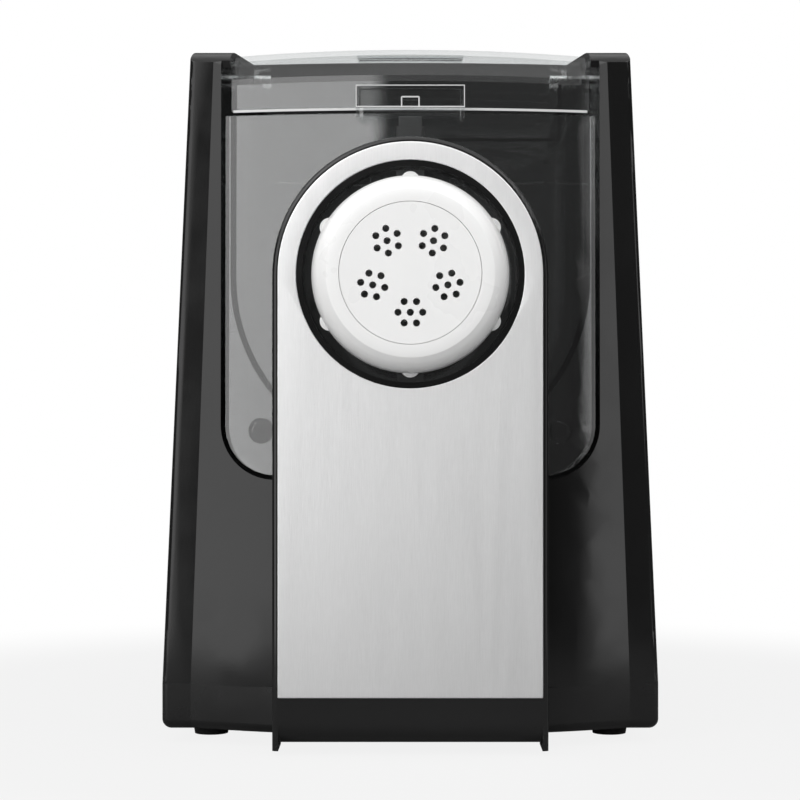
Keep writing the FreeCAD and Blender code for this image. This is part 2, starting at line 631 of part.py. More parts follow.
def make_lid():
    lid = lid_block(0, 0).cut(lid_block(LID_WALL, 8))
    lug_end = LID_HALF - LID_EAR_GAP - LID_LUG_T
    for side in (-1, 1):
        x0, x1 = sorted((side * (LID_HALF + 2), side * (LID_HALF - LID_EAR_GAP)))
        lid = lid.cut(block(x0, x1, LID_HINGE_Y - 10, LID_REAR_Y + 2, RIM_FRONT_Z - 5, HEIGHT + 5))
        lug_in, lug_out = sorted((side * (LID_HALF - LID_EAR_GAP), side * lug_end))
        lug = block(lug_in, lug_out, LID_HINGE_Y - 4.5, LID_HINGE_Y + 4.5, LID_HINGE_Z, HEIGHT - 5)
        eye = Part.makeCylinder(4.5, LID_LUG_T, V(lug_in, LID_HINGE_Y, LID_HINGE_Z), V(1, 0, 0))
        lid = lid.fuse(lug.fuse(eye))
    for row in range(4):
        y = FACET_Y + 62 + row * 14
        lid = lid.cut(block(-24, 24, y, y + 3, RIM_REAR_Z + 5, HEIGHT + 5))
    nose = bow_y(0, RIM_FRONT_Z, 1)
    seat = RIM_FRONT_Z + 1.8
    plate_back = bow_y(TAB_HALF, RIM_FRONT_Z, 1) + 1.2
    plate = block(-TAB_HALF, TAB_HALF, nose - 2.6, plate_back, seat, seat + 9.7)
    lip = block(-TAB_HALF, TAB_HALF, nose - 9.0, nose - 1.5, seat - 4.4, seat)
    ahead = [edge for edge in lip.Edges if edge.BoundBox.YMax < nose - 8.9]
    lip = lip.makeFillet(3.5, [edge for edge in ahead if edge.BoundBox.ZLength > 1])
    lid = lid.fuse(plate).fuse(lip)
    pin_hole = Part.makeCylinder(PIN_R + 0.01, 2 * WIDTH, V(-WIDTH, LID_HINGE_Y, LID_HINGE_Z), V(1, 0, 0))
    pieces["lid"] = lid.cut(pin_hole).removeSplitter()
    pins = []
    for side in (-1, 1):
        x = min(side * lug_end, side * TUB_R)
        pins.append(Part.makeCylinder(PIN_R, TUB_R - lug_end, V(x, LID_HINGE_Y, LID_HINGE_Z), V(1, 0, 0)))
    pieces["lid_hinge_pins"] = Part.makeCompound(pins)


def make_front_cover():
    face_y = PLATE_Y + PLATE_T
    form = arch_solid(COVER_HALF, LUG_BOTTOM, face_y, FACET_Y + 8)
    rim = [
        edge for edge in form.Edges
        if edge.BoundBox.YMax < face_y + 0.01 and edge.BoundBox.ZMax > LUG_BOTTOM + 1
    ]
    form = form.makeFillet(1.8, rim)
    hollow = arch_solid(COVER_HALF - COVER_WALL, LUG_BOTTOM - 5, face_y + COVER_WALL, FACET_Y + 9)
    cover = form.cut(hollow)
    behind = body_solid(-0.5, -2, HEIGHT + 20)
    cover = cover.cut(behind)
    inner = COVER_HALF - COVER_WALL
    chin_top = COVER_BOTTOM + CHIN_R
    chin = block(-inner - 0.5, inner + 0.5, face_y, face_y + CHIN_R, COVER_BOTTOM, chin_top)
    chin_start = V(-WIDTH, face_y + CHIN_R, chin_top)
    chin = chin.common(Part.makeCylinder(CHIN_R, 2 * WIDTH, chin_start, V(1, 0, 0)))
    chin = chin.cut(Part.makeCylinder(CHIN_R - COVER_WALL, 2 * WIDTH, chin_start, V(1, 0, 0)))
    below = block(-inner, inner, face_y - 2, face_y + COVER_WALL + 0.01, LUG_BOTTOM - 1, chin_top)
    cover = cover.cut(below).fuse(chin)
    cover = cover.cut(rod(0, AXIS_Z, PLATE_HOLE_R, PLATE_Y - 1, FACET_Y + 9))
    cover = cover.fuse(tube(0, AXIS_Z, COVER_LIP_R, PLATE_HOLE_R, PLATE_Y, PAD_FRONT_Y))
    for x in (-PEG_X, PEG_X):
        cover = cover.fuse(rod(x, PEG_Z, PEG_R, face_y + 1, bow_y(x, PEG_Z, 0) + 6))
    pieces["front_cover"] = cover.removeSplitter()

    plate = arch_solid(PLATE_HALF, PLATE_BOTTOM, PLATE_Y, face_y)
    plate = plate.cut(rod(0, AXIS_Z, PLATE_HOLE_R + 0.02, PLATE_Y - 1, face_y + 1))
    pieces["front_plate"] = plate


def make_gearbox():
    y = GB_Y
    mid = y + 22.0
    end = y + GB_DEPTH
    discs = [
        (OUTPUT, STAGE_3[0] * STAGE_3[1] / 2 + GB_CLEAR + 1.5),
        (SECOND, STAGE_2[0] * STAGE_2[1] / 2 + GB_CLEAR + 1.2),
        (FIRST, STAGE_1[0] * STAGE_1[1] / 2 + GB_CLEAR + 1.0),
        (MOTOR, STAGE_1[0] * STAGE_1[2] / 2 + GB_CLEAR + 1.0),
    ]

    def form(grow, y0, y1):
        return joined([rod(c[0], c[1], r + grow, y0, y1) for c, r in discs])

    inside = form(0, y + GB_WALL, end - GB_WALL)
    front = form(3, y, mid).cut(inside)
    rear = form(3, mid, end).cut(inside)
    screws = []
    for angle in (30, 90, 150, 200, -20):
        a = math.radians(angle)
        r = discs[0][1] + 6.5
        x = r * math.cos(a)
        z = AXIS_Z + r * math.sin(a)
        boss = rod(x, z, 4.5, y, end)
        front = front.fuse(boss.common(block(-WIDTH, WIDTH, y, mid, 0, HEIGHT)).cut(inside))
        rear = rear.fuse(boss.common(block(-WIDTH, WIDTH, mid, end, 0, HEIGHT)).cut(inside))
        screws.append(rod(x, z, 1.6, y + 5, end).fuse(rod(x, z, 3.2, end, end + 2)))
        front = front.cut(rod(x, z, 1.62, y + 5, mid + 1))
        rear = rear.cut(rod(x, z, 1.62, mid - 1, end + 1))
    for centre, r in ((OUTPUT, BUSH_R), (SECOND, AXLE_R + 1), (FIRST, AXLE_R)):
        depth = -1 if centre is OUTPUT else 2.0
        front = front.cut(rod(centre[0], centre[1], r + 0.02, y + depth, y + GB_WALL + 1))
        rear = rear.cut(rod(centre[0], centre[1], r + 0.02, end - GB_WALL - 1, end - depth))
    front = front.cut(rod(MOTOR[0], MOTOR[1], MOTOR_SHAFT_R + 1.0, y - 1, y + GB_WALL + 1))
    pieces["gearbox_front"] = front.removeSplitter()
    pieces["gearbox_rear"] = rear.removeSplitter()
    pieces["gearbox_screws"] = Part.makeCompound(screws)
    pieces["output_bush_front"] = tube(0, AXIS_Z, SHAFT_R + RUN, BUSH_R, y, y + GB_WALL)
    pieces["output_bush_rear"] = tube(0, AXIS_Z, SHAFT_R + RUN, BUSH_R, end - GB_WALL, end)
    pieces["first_axle"] = rod(FIRST[0], FIRST[1], AXLE_R, y + 2, end - 2)
    pieces["second_axle"] = rod(SECOND[0], SECOND[1], AXLE_R + 1, y + 2, end - 2)
    pieces["bulkhead_seal"] = tube(0, AXIS_Z, 12.3, SEAL_R, BULKHEAD_Y - 0.5, BULKHEAD_Y + WALL)

    phase_out = 90.0
    phase_p3 = mesh_phase(OUTPUT, STAGE_3[1], phase_out, SECOND, STAGE_3[2])
    phase_p2 = mesh_phase(SECOND, STAGE_2[1], phase_p3, FIRST, STAGE_2[2])
    phase_p1 = mesh_phase(FIRST, STAGE_1[1], phase_p2, MOTOR, STAGE_1[2])
    inner_y0 = y + GB_WALL + 0.3
    inner_y1 = end - GB_WALL - 0.3

    wheel = gear(STAGE_3[0], STAGE_3[1], *OUTPUT, phase_out, y + LAYER_3[0], y + LAYER_3[1])
    wheel = wheel.fuse(rod(0, AXIS_Z, 12, y + 16, inner_y1))
    for turn in range(6):
        a = math.radians(60 * turn)
        wheel = wheel.cut(rod(25 * math.cos(a), AXIS_Z + 25 * math.sin(a), 8, y, end))
    pieces["output_gear"] = wheel.cut(rod(0, AXIS_Z, SHAFT_R + 0.01, y, end))
    pieces["output_shaft"] = rod(0, AXIS_Z, SHAFT_R, BULKHEAD_Y - 4, end + 2)
    dog = hexagon(0, AXIS_Z, HEX_R, BULKHEAD_Y - 21, BULKHEAD_Y - 1)
    dog = dog.fuse(rod(0, AXIS_Z, 12, BULKHEAD_Y - 2, GB_Y - 0.2))
    pieces["drive_coupling"] = dog.cut(rod(0, AXIS_Z, SHAFT_R + 0.01, BULKHEAD_Y - 4.01, GB_Y + 1))

    tops = [y + LAYER_1[1], y + LAYER_2[1], y + LAYER_3[1]]
    second = gear(STAGE_2[0], STAGE_2[1], *SECOND, phase_p3, y + LAYER_2[0], tops[1])
    second = second.fuse(gear(STAGE_3[0], STAGE_3[2], *SECOND, phase_p3, tops[1], tops[2] + 0.3))
    second = second.fuse(rod(SECOND[0], SECOND[1], 7.5, inner_y0, inner_y1))
    pieces["second_gear"] = second.cut(rod(SECOND[0], SECOND[1], AXLE_R + 1 + RUN, y, end))

    first = gear(STAGE_1[0], STAGE_1[1], *FIRST, phase_p2, y + LAYER_1[0], tops[0])
    first = first.fuse(gear(STAGE_2[0], STAGE_2[2], *FIRST, phase_p2, tops[0], tops[1] + 0.3))
    first = first.fuse(rod(FIRST[0], FIRST[1], 5.2, inner_y0, inner_y1))
    pieces["first_gear"] = first.cut(rod(FIRST[0], FIRST[1], AXLE_R + RUN, y, end))

    pinion = gear(STAGE_1[0], STAGE_1[2], *MOTOR, phase_p1, y + LAYER_1[0] - 0.5, tops[0] + 0.5)
    pieces["motor_pinion"] = pinion.cut(rod(MOTOR[0], MOTOR[1], MOTOR_SHAFT_R + 0.01, y, end))


def make_motor():
    x, z = MOTOR
    rear = GB_Y
    core0 = rear - 57.0
    core1 = rear - 27.0
    front = rear - 100.0
    core = rod(x, z, MOTOR_R, core0, core1).cut(rod(x, z, MOTOR_BORE, core0 - 1, core1 + 1))
    coils = []
    for side in (-1, 1):
        ring = tube(x, z, MOTOR_BORE + 1.5, MOTOR_BORE + 7.5, core0 - 6, core1 + 6)
        far = z + side * 40
        sector = slab_xz([(x, z), (x - 30, far), (x + 30, far)], core0 - 7, core1 + 7)
        coils.append(ring.common(sector))
        slot = tube(x, z, MOTOR_BORE + 1.3, MOTOR_BORE + 7.7, core0 - 7, core1 + 7)
        wide = slab_xz([(x, z - side), (x - 31, far), (x + 31, far)], core0 - 7, core1 + 7)
        core = core.cut(slot.common(wide))
    pieces["motor_core"] = core
    pieces["field_windings"] = Part.makeCompound(coils)

    def bracket(plate_y, core_y, boss_y0, boss_y1):
        near, far = sorted((plate_y, core_y))
        cross_y = near if plate_y < core_y else far - 3
        left = block(x - ARM_OUT, x - ARM_IN, near, far, z - 5, z + 5)
        right = block(x + ARM_IN, x + ARM_OUT, near, far, z - 5, z + 5)
        cross = block(x - ARM_OUT, x + ARM_OUT, cross_y, cross_y + 3, z - 6, z + 6)
        form = joined([left, right, cross, rod(x, z, BEARING_R + 3, boss_y0, boss_y1)])
        return form.cut(rod(x, z, BEARING_R, boss_y0 - 1, boss_y1 + 1))

    pieces["motor_rear_bracket"] = bracket(rear, core1, rear - 9, rear)
    pieces["motor_front_bracket"] = bracket(front, core0, front, front + 7)
    pieces["motor_bearings"] = Part.makeCompound([
        tube(x, z, MOTOR_SHAFT_R + RUN, BEARING_R - 0.02, rear - 8, rear - 0.5),
        tube(x, z, MOTOR_SHAFT_R + RUN, BEARING_R - 0.02, front + 0.5, front + 6),
    ])
    comm_y = core0 - 17.0
    boxes = []
    brushes = []
    for side in (-1, 1):
        x0, x1 = sorted((side * 12.0, side * ARM_IN))
        box = block(x0, x1, comm_y - 5, comm_y + 5, z - 4.5, z + 4.5)
        b0, b1 = sorted((side * 9.2, side * 22.0))
        brush = block(b0, b1, comm_y - 3, comm_y + 3, z - 2.5, z + 2.5)
        boxes.append(box.cut(block(b0 - 5, b1 + 5, comm_y - 3.1, comm_y + 3.1, z - 2.6, z + 2.6)))
        brushes.append(brush)
    pieces["brush_holders"] = Part.makeCompound(boxes)
    pieces["carbon_brushes"] = Part.makeCompound(brushes)

    pieces["armature_shaft"] = rod(x, z, MOTOR_SHAFT_R, front - 2, GB_Y + LAYER_1[1] + 1)
    armature = rod(x, z, ROTOR_R, core0, core1)
    slot_r = ROTOR_R - 3
    for slot in range(12):
        a = math.radians(30 * slot)
        groove = rod(x + slot_r * math.cos(a), z + slot_r * math.sin(a), 1.8, core0 - 1, core1 + 1)
        armature = armature.cut(groove)
    pieces["armature_core"] = armature.cut(rod(x, z, MOTOR_SHAFT_R + 0.01, core0 - 1, core1 + 1))
    ends = [tube(x, z, MOTOR_SHAFT_R + 0.01, 13.0, y, y + 7) for y in (core0 - 7, core1)]
    pieces["armature_windings"] = Part.makeCompound(ends)
    pieces["commutator"] = tube(x, z, MOTOR_SHAFT_R + 0.01, 9.0, comm_y - 6, comm_y + 6)
    fan_y = front + 9
    fan = tube(x, z, MOTOR_SHAFT_R + 0.01, 8.0, fan_y, fan_y + 8)
    fan = fan.fuse(tube(x, z, MOTOR_SHAFT_R + 0.01, 23.0, fan_y + 6.5, fan_y + 8))
    for blade in range(10):
        vane = block(7.0, 23.0, fan_y, fan_y + 7, -0.7, 0.7)
        vane.rotate(V(0, 0, 0), V(0, 1, 0), 36 * blade)
        vane.translate(V(x, 0, z))
        fan = fan.fuse(vane)
    pieces["cooling_fan"] = fan.removeSplitter()


def make_screws():
    base = []
    for x in (35 - WIDTH / 2, WIDTH / 2 - 35):
        for y in (FACET_Y + 12, BULKHEAD_Y - 26, REAR_SEAM_Y - 25):
            head = post(x, y, 3.4, FOOT_H + 0.5, FOOT_H + 2)
            base.append(post(x, y, 1.8, FOOT_H + 1, SEAM_Z - 3).fuse(head))
    tray = pieces["base_tray"]
    for screw in base:
        centre = screw.BoundBox.Center
        tray = tray.fuse(post(centre.x, centre.y, 4.5, FOOT_H + 2, SEAM_Z))
        tray = tray.cut(post(centre.x, centre.y, 1.82, FOOT_H + 1, SEAM_Z - 3))
        tray = tray.cut(post(centre.x, centre.y, 3.6, FOOT_H - 1, FOOT_H + 2))
    pieces["base_tray"] = tray.removeSplitter()
    pieces["base_screws"] = Part.makeCompound(base)


make_casing()
make_controls()
make_bowl()
make_extruder()
make_auger()
make_lid()
make_front_cover()
make_gearbox()
make_motor()
make_screws()

os.makedirs("parts", exist_ok=True)
for name, shape in pieces.items():
    shape.exportStep("parts/" + name + ".step")
    print(name, shape.isValid(), len(shape.Solids), round(shape.Volume / 1000, 2))
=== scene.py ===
import bpy
import bmesh
import json
import math
from mathutils import Matrix, Vector


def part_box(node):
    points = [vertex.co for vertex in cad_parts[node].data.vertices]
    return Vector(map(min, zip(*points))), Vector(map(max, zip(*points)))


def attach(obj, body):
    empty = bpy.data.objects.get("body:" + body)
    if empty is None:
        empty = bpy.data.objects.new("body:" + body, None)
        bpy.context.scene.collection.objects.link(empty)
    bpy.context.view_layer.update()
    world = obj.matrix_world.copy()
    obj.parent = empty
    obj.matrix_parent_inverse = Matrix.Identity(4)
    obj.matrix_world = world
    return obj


# Electric pasta maker: finishes, small details, studio and camera. Metres, front towards -Y.
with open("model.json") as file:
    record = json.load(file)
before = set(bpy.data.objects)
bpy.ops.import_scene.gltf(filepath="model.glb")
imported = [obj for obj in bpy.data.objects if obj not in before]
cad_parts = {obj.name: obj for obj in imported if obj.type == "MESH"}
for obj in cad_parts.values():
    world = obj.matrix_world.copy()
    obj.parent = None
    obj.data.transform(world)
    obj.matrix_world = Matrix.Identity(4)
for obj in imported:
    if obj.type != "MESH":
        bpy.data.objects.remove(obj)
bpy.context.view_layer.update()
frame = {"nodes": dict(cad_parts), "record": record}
NODES = frame["nodes"]

# Camera, from the perspective of the photograph
SENSOR_W = 36.0
CAMERA_Y = -1.061
CAMERA_Z = 0.145
LENS = 101.2
SHIFT_X = -0.0129

# Studio: radiance by direction round the object, azimuth 0 towards the camera, positive to the right
LEFT_BOX = (-62.0, -8.0)
RIGHT_BOX = (47.0, 61.0)
BOX_SOFT = 3.0
BOX_LOW = -40.0
BOX_HIGH = 50.0
BOX_END_SOFT = 4.0
LEFT_LEVEL = 1.6
RIGHT_LEVEL = 1.4
FILL_LEVEL = 0.07
TOP_FROM = 15.0
TOP_SOFT = 12.0
TOP_LEVEL = 1.42
REAR_SHADE = 0.8
REAR_SHADE_TO = 62.0
REAR_FROM = 0.05
REAR_FULL = 0.25

# Floor: a round disc that fades to white away from the object
FLOOR_R = 0.52
FLOOR_SIDES = 64
FLOOR_COLOUR = 0.24
FLOOR_PALE = 0.86
FLOOR_PALE_FROM = 0.25
FLOOR_PALE_TO = 0.45

# Clear plastic: how strongly it mirrors, and the most it may mirror
CLEAR_IOR = 1.9
CLEAR_MIRROR_MAX = 0.13

# Finishes: about how many times a pattern repeats in a metre, and how deep the grain is in metres
MOTTLE = 14.0
PLASTIC_WANDER = 40.0
METAL_WANDER = 60.0
CLEAR_TINT = 9.0
BRUSH_FINE = 2600.0
BRUSH_BROAD = 240.0
WIRE_TURNS = 330.0
PLASTIC_GRAIN_DEPTH = 0.0003
METAL_GRAIN_DEPTH = 0.0002
WIRE_DEPTH = 0.0004

# Raised symbols on the buttons: MARK_LINE is half the width of a line, PROGRAM_BAR half the length
# of a bar, and SWITCH_BAR holds the two ends of the short bar in the ring
MARK_H = 0.0002
MARK_SINK = 0.00002
MARK_LINE = 0.0004
RING_INNER = 0.0026
RING_OUTER = 0.0034
RING_START = 120.0
RING_SWEEP = 300.0
RING_STEPS = 40
SWITCH_BAR = (0.0006, 0.004)
PROGRAM_BAR = 0.003
PROGRAM_PITCH = 0.0022
TRIANGLE = ((-0.002, -0.003), (0.0034, 0.0), (-0.002, 0.003))

# Share of a small bar's thinnest side that its softened edges take
BAR_SOFT = 0.2

# Lines on the tab at the front of the lid: the catch outline, and frosted lines on the tab's sides, top and
# lip that are painted highlights for its bright edges. Names ending in _Z are heights above the table.
# TAB_LINE_X, LIP_HALF and CATCH_HALF are half widths, TAB_LINE and CATCH_LINE half the width of a line.
TAB_FACE_BACK = 0.0064
TAB_SEAT_Z = 0.2659
TAB_SIDE_Z = 0.266
TAB_TOP_Z = 0.2755
TAB_LINE_X = 0.0224
TAB_LINE = 0.0002
TAB_PROUD = 0.0004
LINE_SET_IN = 0.0002
LIP_HALF = 0.0222
LIP_LINE_H = 0.0006
CATCH_HALF = 0.0036
CATCH_SIDE_Z = 0.2706
CATCH_TOP_Z = 0.2708
CATCH_LINE = 0.0003
CATCH_PROUD = 0.0005

# Front pivot pins of the lid
PIN_R = 0.0016
PIN_L = 0.0022
PIN_BACK = 0.026
PIN_Z = 0.2772
PIN_SHARE = 0.998
PIN_SIDES = 24

# Painted highlight: a frosted strip along the lower front edge of the lid, on the bow of the front,
# standing for the bright edge of the clear plastic
EDGE_HIGHLIGHT_HALF = 0.0745
EDGE_HIGHLIGHT_STEPS = 24
EDGE_HIGHLIGHT_RISE = 0.0005
EDGE_HIGHLIGHT_DEPTH = 0.0007
EDGE_HIGHLIGHT_Z = 0.26585
EDGE_HIGHLIGHT_SLOPE = 0.044
LID_BOW_R = 0.2091
LID_BOW_Y = 0.08145

# Carried-over parts: edges sharper than SHARP get a bevel, except on the parts named in SPLIT_ONLY,
# where a bevel would spoil the shading; WELD is how close vertices are joined
EDGE = 0.0004
WELD = 0.000002
SHARP = math.radians(18)
SPLIT_ONLY = ("field_windings", "pasta_die", "rear_cover")


class Tree:
    """Shorthand for building a node tree."""

    def __init__(self, tree):
        self.tree = tree
        tree.nodes.clear()

    def add(self, kind, inputs=None, **settings):
        node = self.tree.nodes.new(kind)
        for name, value in settings.items():
            setattr(node, name, value)
        for name, value in (inputs or {}).items():
            socket = node.inputs[name]
            if isinstance(value, bpy.types.NodeSocket):
                self.tree.links.new(value, socket)
            else:
                socket.default_value = value
        return node

    def math(self, operation, a, b=0.0, clamp=False):
        node = self.add("ShaderNodeMath", {0: a, 1: b}, operation=operation, use_clamp=clamp)
        return node.outputs[0]

    def ramp(self, value, low, high, to_low=0.0, to_high=1.0):
        """A smooth step from one level to another, flat outside its range."""
        node = self.add("ShaderNodeMapRange", {
            "Value": value, "From Min": low, "From Max": high, "To Min": to_low, "To Max": to_high,
        }, interpolation_type="SMOOTHSTEP")
        return node.outputs["Result"]


def grey(level):
    return (level, level, level, 1.0)


def new_material(name):
    material = bpy.data.materials.new(name)
    material.use_nodes = True
    return material, Tree(material.node_tree)


def coordinates(t, scale=(1.0, 1.0, 1.0)):
    place = t.add("ShaderNodeTexCoord").outputs["Object"]
    return t.add("ShaderNodeMapping", {"Vector": place, "Scale": scale}).outputs["Vector"]


def noise(t, place, scale, detail=3.0, roughness=0.5):
    node = t.add("ShaderNodeTexNoise", {
        "Vector": place, "Scale": scale, "Detail": detail, "Roughness": roughness,
    })
    return node.outputs["Fac"]


def mixed(t, share, low, high):
    node = t.add("ShaderNodeMix", data_type="RGBA")
    colour_inputs = [s for s in node.inputs if s.type == "RGBA"]
    colour_inputs[0].default_value = low
    colour_inputs[1].default_value = high
    t.tree.links.new(share, node.inputs[0])
    return [s for s in node.outputs if s.type == "RGBA"][0]


def finish_shader(t, shader_output):
    t.add("ShaderNodeOutputMaterial", {"Surface": shader_output})


def plastic(name, low, high, rough, bump=0.02, grain=900.0, settings=None):
    """Moulded plastic: faint mottling, a fine grain, and roughness that wanders a little."""
    material, t = new_material(name)
    place = coordinates(t)
    cloud = noise(t, place, MOTTLE)
    fine = noise(t, place, grain, 2.0)
    inputs = {
        "Base Color": mixed(t, cloud, low, high),
        "Roughness": t.ramp(noise(t, place, PLASTIC_WANDER), 0.3, 0.7, rough[0], rough[1]),
    }
    inputs["Normal"] = t.add("ShaderNodeBump", {
        "Strength": bump, "Distance": PLASTIC_GRAIN_DEPTH, "Height": fine,
    }).outputs["Normal"]
    inputs.update(settings or {})
    finish_shader(t, t.add("ShaderNodeBsdfPrincipled", inputs).outputs["BSDF"])
    return material


def clear_plastic(name):
    """Thin clear plastic: passes light straight, and mirrors more when seen edge on, up to a limit."""
    material, t = new_material(name)
    place = coordinates(t)
    marks = noise(t, coordinates(t, (60.0, 60.0, 700.0)), 1.0, 4.0)
    tint = mixed(t, noise(t, place, CLEAR_TINT), (0.955, 0.965, 0.965, 1.0), (0.985, 0.99, 0.99, 1.0))
    through = t.add("ShaderNodeBsdfTransparent", {"Color": tint}).outputs[0]
    gloss = t.add("ShaderNodeBsdfGlossy", {
        "Color": grey(1.0), "Roughness": t.ramp(marks, 0.5, 0.8, 0.02, 0.07),
    }).outputs[0]
    fresnel = t.add("ShaderNodeFresnel", {"IOR": CLEAR_IOR}).outputs[0]
    share = t.math("MINIMUM", fresnel, CLEAR_MIRROR_MAX)
    finish_shader(t, t.add("ShaderNodeMixShader", {0: share, 1: through, 2: gloss}).outputs[0])
    return material


def brushed_metal(name):
    """Steel sheet brushed up and down."""
    material, t = new_material(name)
    lines = noise(t, coordinates(t, (1.0, 1.0, 0.05)), BRUSH_FINE, 3.0, 0.6)
    broad = noise(t, coordinates(t, (1.0, 1.0, 0.06)), BRUSH_BROAD, 3.0)
    inputs = {
        "Base Color": mixed(t, lines, grey(0.88), grey(1.0)),
        "Metallic": 1.0,
        "Roughness": t.ramp(broad, 0.3, 0.7, 0.41, 0.43),
    }
    inputs["Normal"] = t.add("ShaderNodeBump", {
        "Strength": 0.2, "Distance": METAL_GRAIN_DEPTH, "Height": lines,
    }).outputs["Normal"]
    finish_shader(t, t.add("ShaderNodeBsdfPrincipled", inputs).outputs["BSDF"])
    return material


def metal(name, low, high, rough, scale=300.0):
    """Machined or cast metal."""
    material, t = new_material(name)
    place = coordinates(t)
    grain = noise(t, place, scale, 4.0)
    inputs = {
        "Base Color": mixed(t, grain, low, high),
        "Metallic": 1.0,
        "Roughness": t.ramp(noise(t, place, METAL_WANDER), 0.3, 0.7, rough[0], rough[1]),
    }
    inputs["Normal"] = t.add("ShaderNodeBump", {
        "Strength": 0.15, "Distance": METAL_GRAIN_DEPTH, "Height": grain,
    }).outputs["Normal"]
    finish_shader(t, t.add("ShaderNodeBsdfPrincipled", inputs).outputs["BSDF"])
    return material


def wound_copper(name):
    """Enamelled wire seen as fine parallel turns."""
    material, t = new_material(name)
    wave = t.add("ShaderNodeTexWave", {
        "Vector": coordinates(t), "Scale": WIRE_TURNS, "Distortion": 0.6,
    }, bands_direction="DIAGONAL").outputs["Fac"]
    inputs = {
        "Base Color": mixed(t, wave, (0.25, 0.07, 0.02, 1.0), (0.75, 0.3, 0.1, 1.0)),
        "Metallic": 0.7,
        "Roughness": 0.3,
    }
    inputs["Normal"] = t.add("ShaderNodeBump", {
        "Strength": 0.6, "Distance": WIRE_DEPTH, "Height": wave,
    }).outputs["Normal"]
    finish_shader(t, t.add("ShaderNodeBsdfPrincipled", inputs).outputs["BSDF"])
    return material


MATERIALS = {
    "black_gloss": plastic("black_gloss", grey(0.006), grey(0.009), (0.10, 0.17), 0.015),
    "black_base": plastic("black_base", grey(0.005), grey(0.008), (0.2, 0.3), 0.05),
    "clear": clear_plastic("clear"),
    # frosted: light grey plastic; the lid's edge strips use it as painted highlight
    "frosted": plastic("frosted", grey(0.62), grey(0.7), (0.2, 0.3), 0.05),
    "brushed_plate": brushed_metal("brushed_plate"),
    "white": plastic("white", (0.84, 0.84, 0.835, 1.0), (0.87, 0.87, 0.865, 1.0), (0.26, 0.36), 0.03, 700.0,
                     {"Subsurface Weight": 0.12, "Subsurface Radius": (0.002, 0.002, 0.002)}),
    "rubber_black": plastic("rubber_black", grey(0.012), grey(0.03), (0.6, 0.8), 0.4, 500.0),
    "seal_grey": plastic("seal_grey", grey(0.3), grey(0.42), (0.5, 0.7), 0.3, 500.0),
    "display": plastic("display", grey(0.004), grey(0.008), (0.05, 0.1), 0.0),
    "button_grey": plastic("button_grey", grey(0.06), grey(0.09), (0.35, 0.5), 0.2, 1200.0),
    "board_green": plastic("board_green", (0.01, 0.09, 0.035, 1.0), (0.02, 0.14, 0.05, 1.0),
                           (0.3, 0.45), 0.2, 300.0),
    "part_dark": plastic("part_dark", grey(0.03), grey(0.05), (0.4, 0.6), 0.3, 600.0),
    "nylon": plastic("nylon", (0.66, 0.62, 0.52, 1.0), (0.76, 0.72, 0.62, 1.0), (0.35, 0.5), 0.1, 600.0),
    "gearbox_grey": plastic("gearbox_grey", grey(0.08), grey(0.12), (0.5, 0.65), 0.4, 400.0),
    "steel": metal("steel", grey(0.45), grey(0.65), (0.2, 0.35)),
    "laminations": metal("laminations", grey(0.12), grey(0.22), (0.4, 0.55), 120.0),
    "copper": wound_copper("copper"),
    "bronze": metal("bronze", (0.45, 0.28, 0.12, 1.0), (0.6, 0.4, 0.2, 1.0), (0.35, 0.5)),
    "carbon": plastic("carbon", grey(0.01), grey(0.02), (0.5, 0.7), 0.4, 300.0),
    "bracket_zinc": metal("bracket_zinc", grey(0.5), grey(0.62), (0.35, 0.5)),
}


def dress_cad_nodes():
    """Gives every carried-over part its finish, softened or split edges, and smooth shading."""
    for entry in frame["record"]["subparts"]:
        part = NODES[entry["node"]]
        part.data.materials.clear()
        part.data.materials.append(MATERIALS[entry["material_slot"]])
        weld = part.modifiers.new("weld", "WELD")
        weld.merge_threshold = WELD
        part.data.shade_smooth()
        if entry["node"] not in SPLIT_ONLY:
            bevel = part.modifiers.new("edge", "BEVEL")
            bevel.width = EDGE
            bevel.segments = 2
            bevel.limit_method = "ANGLE"
            bevel.angle_limit = SHARP
            bevel.use_clamp_overlap = True
            bevel.harden_normals = False
        else:
            split = part.modifiers.new("split", "EDGE_SPLIT")
            split.split_angle = SHARP
        weighted = part.modifiers.new("normals", "WEIGHTED_NORMAL")
        weighted.keep_sharp = True


def mesh_piece(name, build, material, body):
    """A new mesh object from a function that fills a bmesh."""
    mesh = bpy.data.meshes.new(name)
    work = bmesh.new()
    build(work)
    work.to_mesh(mesh)
    work.free()
    mesh.materials.append(MATERIALS[material])
    piece = bpy.data.objects.new(name, mesh)
    bpy.context.scene.collection.objects.link(piece)
    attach(piece, body)


def sweep_rows(work, rows):
    """Joins four-sided sections, given in order, into one closed strip."""
    for one, two in zip(rows, rows[1:]):
        for k in range(4):
            work.faces.new((one[k], one[(k + 1) % 4], two[(k + 1) % 4], two[k]))
    work.faces.new(rows[0])
    work.faces.new(list(reversed(rows[-1])))
    bmesh.ops.recalc_face_normals(work, faces=work.faces)


def bar(work, low, high):
    """A small box with softened edges."""
    made = bmesh.ops.create_cube(work, size=1.0)
    size = Vector(high) - Vector(low)
    middle = (Vector(high) + Vector(low)) / 2
    bmesh.ops.transform(work, matrix=Matrix.Diagonal((*size, 1.0)), verts=made["verts"])
    bmesh.ops.translate(work, vec=middle, verts=made["verts"])
    edges = {edge for vert in made["verts"] for edge in vert.link_edges}
    bmesh.ops.bevel(work, geom=list(edges), offset=min(size) * BAR_SOFT, segments=2, affect="EDGES")


